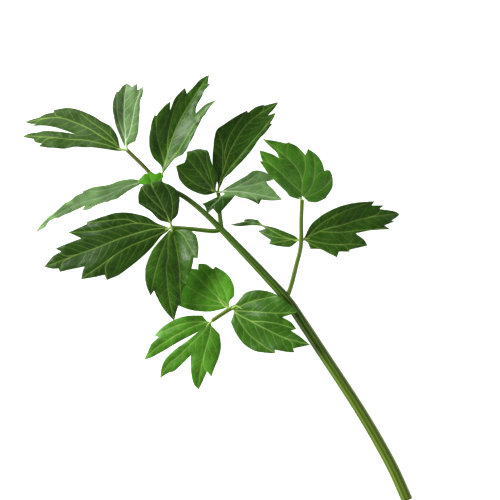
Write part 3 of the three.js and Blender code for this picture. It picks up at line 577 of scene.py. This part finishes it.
def tooth_vein(tip, mains, loop):
    """A vein that leaves the best placed main vein at a slant and runs to a tooth's tip, or None."""
    best, best_cost = None, TOOTH_VEIN_LIMIT
    for main in mains:
        if np.linalg.norm(main.path[-1] - tip) < TOOTH_SERVED:
            return None
        for i in range(VEIN_ENDS, len(main.path) - VEIN_ENDS):
            reach = tip - main.path[i]
            length = float(np.linalg.norm(reach))
            forward = main.path[i + 1] - main.path[i - 1]
            cosine = np.clip(reach @ forward / length / np.linalg.norm(forward), -1, 1)
            cost = abs(math.degrees(math.acos(cosine)) - TOOTH_VEIN_ANGLE) + TOOTH_VEIN_LENGTH * length
            if cost < best_cost and inside(main.path[i] + reach * LINE_CHECKS, loop).all():
                best_cost = cost
                start, ahead = main.path[i], forward / np.linalg.norm(forward)
                middle = start + ahead * length * TOOTH_VEIN_AHEAD + reach * TOOTH_VEIN_TURN
                best = smooth_path([start, middle, tip - reach * TOOTH_VEIN_SHORT], VEIN_STEP)
    return None if best is None else tapered(best, TOOTH_VEIN, TOOTH_VEIN_TIP)


def side_veins(main, taken, loop):
    """Thin veins that leave a main vein to each side in turn, and end at the edge or before other veins."""
    found = []
    for i in range(SIDE_VEIN_EVERY, len(main.path) - SIDE_VEIN_EVERY, SIDE_VEIN_EVERY):
        forward = main.path[i + 1] - main.path[i - 1]
        heading = math.atan2(forward[1], forward[0])
        side = 1 if (i // SIDE_VEIN_EVERY) % 2 else -1
        walk = [main.path[i]]
        for n in range(SIDE_VEIN_STEPS):
            angle = heading + side * math.radians(SIDE_VEIN_ANGLE - SIDE_VEIN_CURVE * n)
            ahead = walk[-1] + SIDE_VEIN_STEP * np.array([math.cos(angle), math.sin(angle)])
            others = [vein.path for vein in taken + found if vein is not main]
            gaps = [distance_to(ahead[None], path)[0][0] for path in others]
            if not inside(ahead[None], loop)[0] or min(gaps, default=math.inf) < SIDE_VEIN_GAP:
                break
            walk.append(ahead)
        if len(walk) > SIDE_VEIN_SHORTEST:
            found.append(tapered(np.array(walk), FINE_VEIN, FINE_VEIN_TIP))
    return found


def veins_of(leaflet, loop, tips):
    """A blade's main and tooth veins, and its fine ones."""
    mains = [tapered(smooth_path(rib, VEIN_STEP), MAIN_VEIN * (LATER_VEINS if i else 1), MAIN_VEIN_TIP)
             for i, rib in enumerate(leaflet.ribs)]
    teeth = [v for v in (tooth_vein(tip, mains, loop) for tip in tips) if v]
    fine = []
    for main in mains:
        fine += side_veins(main, mains + teeth + fine, loop)
    return mains + teeth, fine


# ---- blades ----
def blade_points(loop, veins):
    """Points to build a blade on: its edge, rows along each side of its veins, and an even grid."""
    rows = []
    for vein in veins:
        along = np.gradient(vein.path, axis=0)
        across_it = np.stack([-along[:, 1], along[:, 0]], 1)
        across_it /= np.maximum(np.linalg.norm(across_it, axis=1, keepdims=True), 1e-9)
        rows.append(vein.path)
        for side in (1, -1):
            rows.append(vein.path + across_it * side * (vein.half_width[:, None] + ROW_OFFSET))
    strips = np.concatenate(rows)
    lo, hi = loop.min(0), loop.max(0)
    height = GRID * math.sqrt(3) / 2
    grid = [(lo[0] + GRID * (i + 0.5 * (j % 2)), lo[1] + height * j)
            for j in range(int((hi[1] - lo[1]) / height) + 1)
            for i in range(int((hi[0] - lo[0]) / GRID) + 1)]
    kept = []
    cells = {}
    for candidates, gap in ((strips, VEIN_POINT_GAP), (np.array(grid), GRID_POINT_GAP)):
        candidates = candidates[inside(candidates, loop)]
        edge_gap = distance_to_edge(candidates, loop)
        for p in candidates[edge_gap > EDGE_CLEARANCE]:
            column, row = int(p[0] // CELL), int(p[1] // CELL)
            near = (q for i in (-1, 0, 1) for j in (-1, 0, 1) for q in cells.get((column + i, row + j), ()))
            if all((p[0] - q[0])**2 + (p[1] - q[1])**2 > gap * gap for q in near):
                cells.setdefault((column, row), []).append(p)
                kept.append(p)
    return np.vstack([loop, kept])


def triangulated(points, edge_count):
    """Triangles, anticlockwise, that fill the edge loop and use every point inside it."""
    edge = list(range(edge_count))
    result = geometry.delaunay_2d_cdt([Vector(p) for p in points], [], [edge], INSIDE_ONLY, SAME_POINT)
    flat = np.array([tuple(v) for v in result[0]])
    return flat, [tuple(face) for face in result[2]]


def bent(points, flat, bend):
    """Turn the part of a blade that lies left of a bend's line."""
    start = np.array(bend.start, float)
    along = np.array(bend.end, float) - start
    along /= np.linalg.norm(along)
    out = np.array([-along[1], along[0]])
    reach = (flat - start) @ out
    rolled = np.clip(reach, 0, bend.over)
    full = math.radians(bend.turn)
    angle = full * rolled / bend.over
    radius = bend.over / full
    rest = points[:, :2] - start
    outward = rest @ out - rolled
    sideways = rest @ along
    sin, cos = np.sin(angle), np.cos(angle)
    out_turned = radius * sin + outward * cos - points[:, 2] * sin
    lifted = radius * (1 - cos) + outward * sin + points[:, 2] * cos
    moved = np.column_stack([start + out_turned[:, None] * out + sideways[:, None] * along, lifted])
    return np.where((reach > 0)[:, None], moved, points)


def blade_axes(leaflet):
    """The blade's own axes as columns: along its middle vein, to its left, off its upper face."""
    h, p, r = (math.radians(x) for x in (leaflet.heading, leaflet.pitch, leaflet.roll))
    turn = np.array([[math.cos(h), -math.sin(h), 0], [math.sin(h), math.cos(h), 0], [0, 0, 1]])
    lift = np.array([[math.cos(p), 0, -math.sin(p)], [0, 1, 0], [math.sin(p), 0, math.cos(p)]])
    roll = np.array([[1, 0, 0], [0, math.cos(r), -math.sin(r)], [0, math.sin(r), math.cos(r)]])
    return turn @ lift @ roll


def shaped(leaflet, flat, heights):
    """Flat points of a blade, each lifted off it by its height, where they lie on the leaf."""
    points = np.column_stack([flat, heights])
    for bend in reversed(leaflet.bends):
        points = bent(points, flat, bend)
    return points @ blade_axes(leaflet).T + leaflet.at + vec(*leaflet.shift)


def waves(flat, edge_gap, seed):
    """Slow waves of the blade and quick ones of its margin, none at its foot."""
    slow = np.array([noise.noise(Vector((a * WAVE_ALONG, c * WAVE_ACROSS, seed))) for a, c in flat])
    quick = np.array([noise.noise(Vector((a * RUFFLE_SCALE, c * RUFFLE_SCALE, seed + RUFFLE_SEED)))
                      for a, c in flat])
    ramp = np.clip(flat[:, 0] / WAVES_START, 0, 1)
    margin = np.exp(-edge_gap / RUFFLE_WIDTH)
    return ramp * (WAVE * slow * NOISE_SPAN + RUFFLE * quick * NOISE_SPAN * margin)


def smoothstep(x):
    x = np.clip(x, 0, 1)
    return x * x * (3 - 2 * x)


def blade(leaflet, seed):
    """The blade's vertices, faces and point attributes: upper face, under face and rim."""
    loop, tips = outline_loop(leaflet)
    veins, fine = veins_of(leaflet, loop, tips)
    flat, triangles = triangulated(blade_points(loop, veins + fine), len(loop))
    edge_gap = distance_to_edge(flat, loop)
    strength = np.zeros(len(flat))
    relief = np.zeros(len(flat))
    nearest = np.full(len(flat), math.inf)
    for vein in veins + fine:
        gap, half = distance_to(flat, vein.path, vein.half_width)
        core = smoothstep(CORE_REACH - gap / (half + CORE_MARGIN))
        strength = np.maximum(strength, core * np.clip(half / MAIN_VEIN - FAINT_VEINS, 0, 1))
        is_fine = vein.half_width.max() <= FINE_VEIN
        depth = half / MAIN_VEIN * (FINE_RELIEF if is_fine else 1)
        groove = np.exp(-(gap / (half * GROOVE_SPREAD + GROOVE_MARGIN))**2)
        relief = np.maximum(relief, groove * depth)
        nearest = nearest if is_fine else np.minimum(nearest, gap)
    dome = QUILTING * smoothstep(nearest / DOME_FROM_VEIN) * smoothstep(edge_gap / DOME_FROM_EDGE)
    middle = dome + waves(flat, edge_gap, seed)
    from_edge = smoothstep(edge_gap / EDGE_WIDTH)
    half_thick = (EDGE_THICKNESS + (BLADE_THICKNESS - EDGE_THICKNESS) * from_edge) / 2
    upper = shaped(leaflet, flat, middle + half_thick - VEIN_GROOVE * relief)
    under = shaped(leaflet, flat, middle - half_thick - VEIN_KEEL * relief * from_edge)
    count = len(flat)
    faces = [list(t) for t in triangles] + [[t[0] + count, t[2] + count, t[1] + count] for t in triangles]
    sides = {(t[k], t[(k + 1) % 3]) for t in triangles for k in range(3)}
    faces += [[i + count, j + count, j, i] for i, j in sides if (j, i) not in sides]
    # Painted shade: the part left of the last bend's line is marked to be painted darker
    shade = np.zeros(count)
    if leaflet.painted_fold_shade:
        bend = leaflet.bends[-1]
        along = np.array(bend.end, float) - bend.start
        rel = flat - np.array(bend.start, float)
        left = (along[0] * rel[:, 1] - along[1] * rel[:, 0]) / np.linalg.norm(along)
        shade = smoothstep(left / FOLD_SHADE_WIDTH)
    attributes = {
        "shade": np.tile(shade, 2),
        "painted_light_and_shade": np.full(2 * count, leaflet.painted_light_and_shade),
        "vein": np.tile(strength, 2),
        "under": np.repeat([0.0, 1.0], count),
        "a": np.tile(flat[:, 0], 2),
        "c": np.tile(flat[:, 1], 2),
    }
    return np.vstack([upper, under]), faces, attributes


# ---- tubes ----
def tube(path, radius_at, sides, ribs=0, rib_height=0.0, step=1.0):
    """A closed round stalk along a smooth path, with optional ridges along it."""
    centres = smooth_path(path, step)
    lengths = np.concatenate([[0], np.cumsum(np.linalg.norm(np.diff(centres, axis=0), axis=1))])
    shares = lengths / lengths[-1]
    tangents = np.gradient(centres, axis=0)
    tangents /= np.linalg.norm(tangents, axis=1, keepdims=True)
    side = np.cross(tangents, vec(0, 0, 1))
    side /= np.linalg.norm(side, axis=1, keepdims=True)
    top = np.cross(side, tangents)
    verts, ridge = [], []
    angles = np.arange(sides) * 2 * math.pi / sides
    for centre, s, t, share in zip(centres, side, top, shares):
        crest = 0.5 + 0.5 * np.cos(ribs * angles + RIB_TURN) if ribs else np.full(sides, 0.5)
        radius = radius_at(share) * (1 + rib_height * (crest * 2 - 1))
        verts.append(centre + radius[:, None] * (np.cos(angles)[:, None] * s + np.sin(angles)[:, None] * t))
        ridge.append(crest)
    verts = np.concatenate(verts)
    rings = len(centres)
    faces = [[(r + 1) * sides + k, (r + 1) * sides + (k + 1) % sides, r * sides + (k + 1) % sides,
              r * sides + k] for r in range(rings - 1) for k in range(sides)]
    faces.append(list(range(sides)))
    faces.append(list(range((rings - 1) * sides, rings * sides))[::-1])
    return verts, faces, np.concatenate(ridge), np.repeat(lengths, sides)


def leaflet_stalk_radius(share):
    return LEAFLET_STALK_DIAMETER / 2 * (LEAFLET_STALK_FOOT - LEAFLET_STALK_TAPER * share)


def leaflet_stalk(leaflet):
    """The leaflet's short stalk, from its branching point to the foot of its main vein."""
    foot = (np.array(leaflet.outline[0]) + np.array(leaflet.outline[-1])) / 2
    flat = np.array([foot + (distance, 0) for distance, _ in STALK_UNDER_BLADE])
    on_blade = shaped(leaflet, flat, np.array([height for _, height in STALK_UNDER_BLADE]))
    start = leaflet.at + vec(0, 0, LEAFLET_STALK_LIFT)
    verts, faces, _, along = tube([start, *on_blade], leaflet_stalk_radius, LEAFLET_STALK_SIDES,
                                  step=LEAFLET_STALK_STEP)
    attributes = {"vein": np.ones(len(verts)), "under": np.zeros(len(verts)),
                  "shade": np.zeros(len(verts)), "painted_light_and_shade": np.ones(len(verts)),
                  "a": along, "c": np.zeros(len(verts))}
    return verts, faces, attributes


# ---- meshes ----
def mesh_object(name, parts, material):
    """One object from (vertices in mm, faces, point attributes) parts, with (a, c) as its UV map."""
    verts, faces, values = [], [], {}
    for part_verts, part_faces, attributes in parts:
        base = sum(len(v) for v in verts)
        verts.append(placed(part_verts))
        faces += [[i + base for i in face] for face in part_faces]
        for key, data in attributes.items():
            values.setdefault(key, []).append(data)
    mesh = bpy.data.meshes.new(name)
    mesh.from_pydata(np.concatenate(verts).tolist(), [], faces)
    values = {key: np.concatenate(data) for key, data in values.items()}
    a, c = values.pop("a"), values.pop("c")
    for key, data in values.items():
        mesh.attributes.new(key, "FLOAT", "POINT").data.foreach_set("value", data.astype(np.float32))
    uv = mesh.uv_layers.new(name="flat")
    corner = np.zeros(len(mesh.loops), np.int32)
    mesh.loops.foreach_get("vertex_index", corner)
    places = np.column_stack([a[corner], c[corner]]) / UV_SPAN
    uv.data.foreach_set("uv", places.astype(np.float32).ravel())
    mesh.polygons.foreach_set("use_smooth", np.ones(len(mesh.polygons), bool))
    mesh.materials.append(material)
    obj = bpy.data.objects.new(name, mesh)
    bpy.context.collection.objects.link(obj)
    return obj


def stands_for(obj, node):
    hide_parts(node)
    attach(obj, BODY)


# ---- materials ----
RANGE_SOCKETS = ("From Min", "From Max", "To Min", "To Max")
NOISE_DETAIL = 3
PATCH_SCALE = 7  # patches of light and dark green
PATCH_LEVELS = (0.35, 0.65)  # of the noise, where they are fully dark and fully light
PATCH_SHADES = (0.78, 1.2)  # against the look's own colour
NET_SCALE = 34  # cells of the fine vein net to a unit of the UV map
NET_LINE = 0.08  # half width of its lines, in cells
NET_LINE_STRENGTH = 0.2
NET_COLOR = 0.5  # against the vein's colour
NET_BUMP_WIDTH = 0.2
NET_BUMP = 0.25
NET_BUMP_HEIGHT = 0.0001  # in metres
FOLD_SHADE = 0.9  # painted shade on a fold: its colour against the dark look's
VEIN_STRENGTH = 0.85
STREAK_SCALE = 18  # streaks along a stalk
STREAK_LEVELS = (0.3, 0.7)
STREAK_SHADES = (0.7, 1.15)
RIDGE_FROM = 0.45  # crests above this share of a ridge are paler
RIDGE_STRENGTH = 0.9
RIDGE_PALENESS = 0.5
OLIVE_STALK = (0.082, 0.145, 0.005)
GREEN_STALK = (0.026, 0.090, 0.005)
BROWN_STALK = (0.080, 0.078, 0.020)
STALK_RIDGE = (0.23, 0.34, 0.03)
STALK_ROUGHNESS, STALK_SPECULAR = 0.42, 0.3
STEM_TONES = ((0, 0), (0.25, 0.1), (0.55, 0.45), (0.85, 0.55), (0.92, 0.95), (1, 1))
SIDE_TONES = {"stalk_a_right": 0.1, "stalk_a_left": 0.05, "stalk_b_left": 0.45, "stalk_b_right": 0.55}


class Nodes:
    """Short names for building a material's nodes."""

    def __init__(self, name):
        self.material = bpy.data.materials.new(name)
        self.material.use_nodes = True
        self.tree = self.material.node_tree
        self.shader = self.tree.nodes["Principled BSDF"]

    def add(self, kind, **settings):
        node = self.tree.nodes.new(kind)
        for key, value in settings.items():
            setattr(node, key, value)
        return node

    def link(self, output, socket):
        self.tree.links.new(output, socket)

    def attribute(self, name):
        return self.add("ShaderNodeAttribute", attribute_name=name).outputs["Fac"]

    def texture(self, kind, scale, **settings):
        uv = self.add("ShaderNodeUVMap", uv_map="flat").outputs[0]
        node = self.add(kind, **settings)
        self.link(uv, node.inputs["Vector"])
        node.inputs["Scale"].default_value = scale
        return node

    def noise(self, scale):
        node = self.texture("ShaderNodeTexNoise", scale)
        node.inputs["Detail"].default_value = NOISE_DETAIL
        return node.outputs["Fac"]

    def ranged(self, value, from_low, from_high, low, high):
        node = self.add("ShaderNodeMapRange")
        self.link(value, node.inputs["Value"])
        for socket, number in zip(RANGE_SOCKETS, (from_low, from_high, low, high)):
            node.inputs[socket].default_value = number
        return node.outputs["Result"]

    def mix(self, factor, first, second, blend="MIX"):
        node = self.add("ShaderNodeMix", data_type="RGBA", blend_type=blend)
        for socket, value in ((node.inputs[0], factor), (node.inputs[6], first), (node.inputs[7], second)):
            if isinstance(value, bpy.types.NodeSocket):
                self.link(value, socket)
            elif isinstance(value, tuple):
                socket.default_value = (*value, 1)
            else:
                socket.default_value = value
        return node.outputs[2]

    def grey(self, value):
        node = self.add("ShaderNodeCombineColor")
        for socket in node.inputs[:3]:
            self.link(value, socket)
        return node.outputs[0]

    def bump(self, height):
        node = self.add("ShaderNodeBump")
        node.inputs["Strength"].default_value = NET_BUMP
        node.inputs["Distance"].default_value = NET_BUMP_HEIGHT
        self.link(height, node.inputs["Height"])
        self.link(node.outputs[0], self.shader.inputs["Normal"])

    def gloss(self, roughness, specular):
        self.shader.inputs["Roughness"].default_value = roughness
        self.shader.inputs["Specular IOR Level"].default_value = specular


def scaled(color, factor):
    return tuple(min(1.0, c * factor) for c in color)


def leaf_material(look):
    nodes = Nodes(look.slot)
    patches = nodes.ranged(nodes.noise(PATCH_SCALE), *PATCH_LEVELS, 0, 1)
    upper = nodes.mix(patches, *(scaled(look.upper, shade) for shade in PATCH_SHADES))
    net = nodes.texture("ShaderNodeTexVoronoi", NET_SCALE, feature="DISTANCE_TO_EDGE").outputs["Distance"]
    net_line = nodes.ranged(net, 0, NET_LINE, NET_LINE_STRENGTH, 0)
    upper = nodes.mix(net_line, upper, scaled(look.vein, NET_COLOR))
    # painted shade on a fold
    upper = nodes.mix(nodes.attribute("shade"), upper, scaled(DARK.upper, FOLD_SHADE))
    # painted light and shade: each leaflet's upper face made lighter or darker
    upper = nodes.mix(1.0, upper, nodes.grey(nodes.attribute("painted_light_and_shade")), "MULTIPLY")
    blade_color = nodes.mix(nodes.attribute("under"), upper, look.under)
    vein_factor = nodes.ranged(nodes.attribute("vein"), 0, 1, 0, VEIN_STRENGTH)
    nodes.link(nodes.mix(vein_factor, blade_color, look.vein), nodes.shader.inputs["Base Color"])
    nodes.gloss(look.roughness, look.specular)
    nodes.bump(nodes.ranged(net, 0, NET_BUMP_WIDTH, 0, 1))
    return nodes.material


def stalk_material():
    """Its tone runs from 0, olive, by 0.5, green, to 1, brown."""
    nodes = Nodes("stalk")
    tone = nodes.attribute("tone")
    color = nodes.mix(nodes.ranged(tone, 0, 0.5, 0, 1), OLIVE_STALK, GREEN_STALK)
    color = nodes.mix(nodes.ranged(tone, 0.5, 1, 0, 1), color, BROWN_STALK)
    streaks = nodes.ranged(nodes.noise(STREAK_SCALE), *STREAK_LEVELS, *STREAK_SHADES)
    color = nodes.mix(1.0, color, nodes.grey(streaks), "MULTIPLY")
    ridge = nodes.ranged(nodes.attribute("ridge"), RIDGE_FROM, 1, 0, RIDGE_STRENGTH)
    color = nodes.mix(ridge, color, nodes.mix(RIDGE_PALENESS, color, STALK_RIDGE))
    nodes.link(color, nodes.shader.inputs["Base Color"])
    nodes.gloss(STALK_ROUGHNESS, STALK_SPECULAR)
    return nodes.material


# ---- stalks ----
def axis_widths():
    """The main stem's (distance, diameter) pairs: it tapers, and narrows at each branching point."""
    distance = 0
    widths = [(0, CUT_END_DIAMETER)]
    stretches = ((CUT_END, BRANCH_A, AXIS_DIAMETER_AT_A), (BRANCH_A, BRANCH_B, AXIS_DIAMETER_AT_B),
                 (BRANCH_B, BRANCH_C, AXIS_DIAMETER_AT_C))
    for start, end, diameter in stretches:
        distance += np.linalg.norm(end - start)
        widths.append((distance - BRANCHING_SPAN / 2, diameter + BRANCHING_STEP / 2))
        widths.append((distance + BRANCHING_SPAN / 2, diameter - BRANCHING_STEP / 2))
    distance += np.linalg.norm(BRANCH_T - BRANCH_C)
    return widths + [(distance, AXIS_DIAMETER_AT_T)]


AXIS_WIDTHS = axis_widths()


def axis_radius(share):
    distance = share * AXIS_WIDTHS[-1][0]
    return float(np.interp(distance, *zip(*AXIS_WIDTHS))) / 2


def side_radius(share):
    return SIDE_STALK_DIAMETER / 2 * (1 + SIDE_STALK_TAPER * (0.5 - share))


def stalk_part(path, radius_at, sides, ribs, rib_height, tones):
    """tones: (share of the length, tone) pairs."""
    verts, faces, ridge, along = tube(path, radius_at, sides, ribs, rib_height)
    around = np.tile(np.arange(sides) / sides * UV_SPAN, len(verts) // sides)
    tone = np.interp(along / along.max(), *zip(*tones))
    return verts, faces, {"ridge": ridge, "tone": tone, "a": along * STALK_UV_ALONG, "c": around}


def build_stalks():
    material = stalk_material()
    stem_part = stalk_part(AXIS_PATH, axis_radius, STEM_SIDES, RIB_COUNT, RIB_HEIGHT, STEM_TONES)
    stem = mesh_object("main_stem_look", [stem_part], material)
    stands_for(stem, "main_stem")
    for name, path in SIDE_STALKS.items():
        tone = SIDE_TONES[name]
        part = stalk_part(path, side_radius, SIDE_STALK_SIDES, SIDE_RIB_COUNT, SIDE_RIB_HEIGHT,
                          ((0, tone), (1, tone)))
        obj = mesh_object(name + "_look", [part], material)
        stands_for(obj, name)


def build_leaflets():
    materials = {id(look): leaf_material(look) for look in (DARK, DULL, BRIGHT, PALE, YOUNG)}
    for seed, leaflet in enumerate(LEAFLETS):
        parts = [blade(leaflet, seed * SEED_STEP), leaflet_stalk(leaflet)]
        obj = mesh_object(f"leaflet_{leaflet.name}_look", parts, materials[id(leaflet.look)])
        stands_for(obj, f"leaflet_{leaflet.name}")


# ---- stage, camera and light ----
VIEW_TARGET = vec(20.17, 145.93, 0)  # the picture's middle, on the surface
CAMERA_HEIGHT = 1.5
CAMERA_TURN = math.radians(-40)  # the picture's right against the leaf's +X
PICTURE_WIDTH = 0.25  # of the surface, in metres
FILM_WIDTH = 36
FAR_CLIP = 20
FLOOR_SIZE = 6
FLOOR_COLOR = (0.9, 0.9, 0.9, 1)
FLOOR_GLOW = 0.9
WHITE = (1, 1, 1, 1)
ROOM_HEIGHTS = (0.1, 0.75)  # the room's light fades between these heights of its sphere
ROOM_LIGHT = (1.0, 0.12)
SOFTBOX_PLACE = (-0.545, 0.808, 0.61)
SOFTBOX_SIZE = 0.6
SOFTBOX_POWER = 21
SOFTBOX_COLOR = (1, 0.99, 0.96)


def build_stage():
    bpy.ops.mesh.primitive_plane_add(size=FLOOR_SIZE, location=(0, 0, 0))
    floor = bpy.context.object
    floor.name = "floor"
    nodes = Nodes("white_surface")
    nodes.shader.inputs["Base Color"].default_value = FLOOR_COLOR
    nodes.gloss(1, 0)
    nodes.shader.inputs["Emission Color"].default_value = WHITE
    nodes.shader.inputs["Emission Strength"].default_value = FLOOR_GLOW
    floor.data.materials.append(nodes.material)


def build_camera():
    camera = bpy.data.cameras.new("camera")
    camera.sensor_width = FILM_WIDTH
    camera.lens = camera.sensor_width * CAMERA_HEIGHT / PICTURE_WIDTH
    camera.clip_end = FAR_CLIP
    obj = bpy.data.objects.new("camera", camera)
    bpy.context.collection.objects.link(obj)
    x, y, _ = placed(VIEW_TARGET)
    obj.location = (x, y, CAMERA_HEIGHT)
    obj.rotation_euler = (0, 0, CAMERA_TURN)
    bpy.context.scene.camera = obj


def build_softbox():
    light = bpy.data.lights.new("softbox", "AREA")
    light.shape = "DISK"
    light.size = SOFTBOX_SIZE
    light.energy = SOFTBOX_POWER
    light.color = SOFTBOX_COLOR
    obj = bpy.data.objects.new("softbox", light)
    bpy.context.collection.objects.link(obj)
    obj.location = SOFTBOX_PLACE
    obj.rotation_euler = (-Vector(SOFTBOX_PLACE)).to_track_quat("-Z", "Y").to_euler()


def build_room():
    """White light from all around, less of it from above."""
    world = bpy.data.worlds.new("white_room")
    bpy.context.scene.world = world
    world.use_nodes = True
    tree = world.node_tree
    up = tree.nodes.new("ShaderNodeSeparateXYZ")
    fade = tree.nodes.new("ShaderNodeMapRange")
    tree.links.new(tree.nodes.new("ShaderNodeTexCoord").outputs["Generated"], up.inputs[0])
    tree.links.new(up.outputs["Z"], fade.inputs["Value"])
    for socket, number in zip(RANGE_SOCKETS, (*ROOM_HEIGHTS, *ROOM_LIGHT)):
        fade.inputs[socket].default_value = number
    tree.nodes["Background"].inputs[0].default_value = WHITE
    tree.links.new(fade.outputs["Result"], tree.nodes["Background"].inputs[1])


build_stalks()
build_leaflets()
build_stage()
build_camera()
build_room()
build_softbox()
bpy.context.scene.view_settings.view_transform = "Standard"
